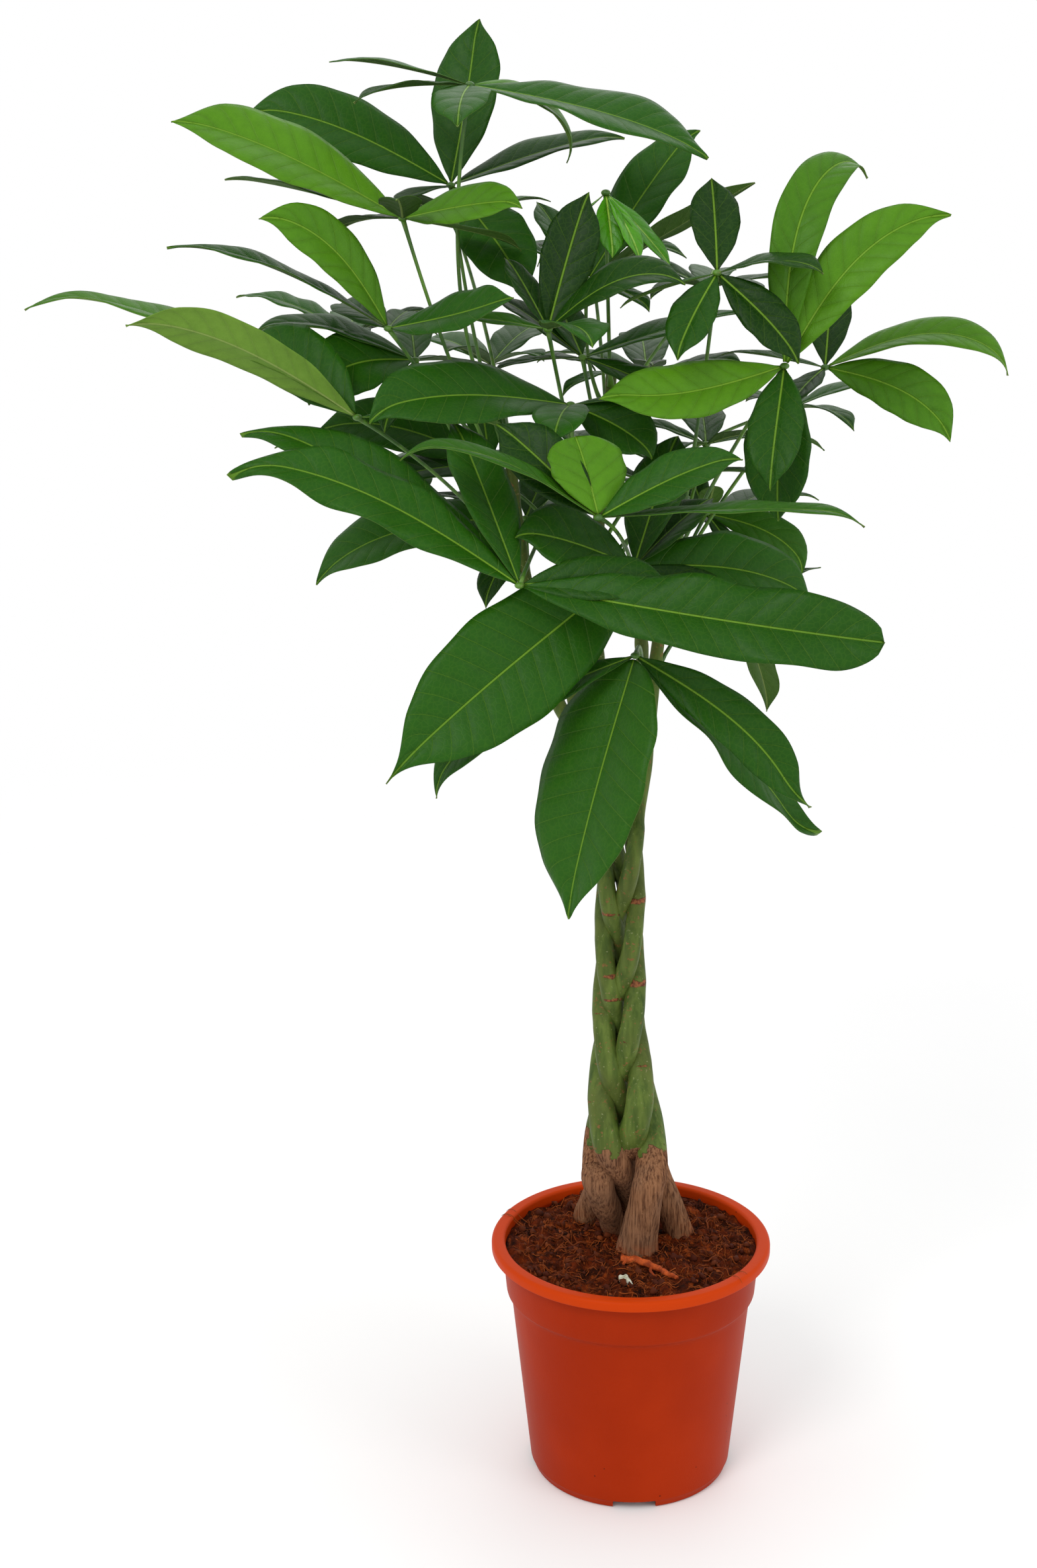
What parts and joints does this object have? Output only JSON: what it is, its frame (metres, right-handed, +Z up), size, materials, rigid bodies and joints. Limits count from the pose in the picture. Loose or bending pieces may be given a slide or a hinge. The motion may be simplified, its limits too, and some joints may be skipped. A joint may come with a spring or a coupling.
{
  "type": "potted money tree",
  "caption": "Plaited-trunk money tree with palmate leaves in a tapered plastic nursery pot of fibrous soil",
  "frame": {"origin": "on the pot's axis, on the surface that the pot stands on", "axes": "+Z up along the pot's axis, +X to the right, -Y to the front of the pot"},
  "size_m": [0.6714, 0.5092, 1.0687],
  "materials": {
    "pot": "satin terracotta-orange moulded plastic",
    "soil": "damp fibrous peat and coir",
    "stem": "smooth olive-green bark, grey-brown and fissured at the foot",
    "leaf": "glossy quilted leaf with pale midrib",
    "young_leaf": "glossy bright-green young leaf",
    "root": "bared orange-brown root",
    "chip": "pale grey chip"
  },
  "bodies": {
    "root": {"pot": "pot", "stem_left_front": "stem", "stem_left_back": "stem", "stem_middle": "stem", "stem_right_front": "stem", "stem_right_back": "stem", "soil": "soil", "surface_root": "root", "pale_chip": "chip", "leaf_top_left": "leaf", "leaf_top_behind": "leaf", "leaf_upper_left": "leaf", "leaf_left_curled": "leaf", "leaf_left_long": "leaf", "leaf_left_inner": "leaf", "leaf_left_shaded": "leaf", "leaf_middle_front": "leaf", "leaf_glossy": "leaf", "leaf_middle_inner": "leaf", "leaf_middle_high": "leaf", "leaf_young": "young_leaf", "leaf_low_left": "leaf", "leaf_right_middle": "leaf", "leaf_right_front": "leaf", "leaf_right_far": "leaf", "leaf_right_low": "leaf", "leaf_right_under": "leaf", "leaf_front_light": "leaf", "leaf_front_great": "leaf", "leaf_front_middle": "leaf", "leaf_front_hanging": "leaf", "leaf_back_1": "leaf", "leaf_back_2": "leaf", "leaf_back_3": "leaf", "leaf_back_4": "leaf", "leaf_back_5": "leaf", "leaf_back_6": "leaf", "leaf_back_7": "leaf", "leaf_back_8": "leaf", "leaf_back_9": "leaf", "leaf_back_10": "leaf", "leaf_back_11": "leaf", "leaf_back_12": "leaf", "leaf_back_13": "leaf"}
  },
  "joints": []
}
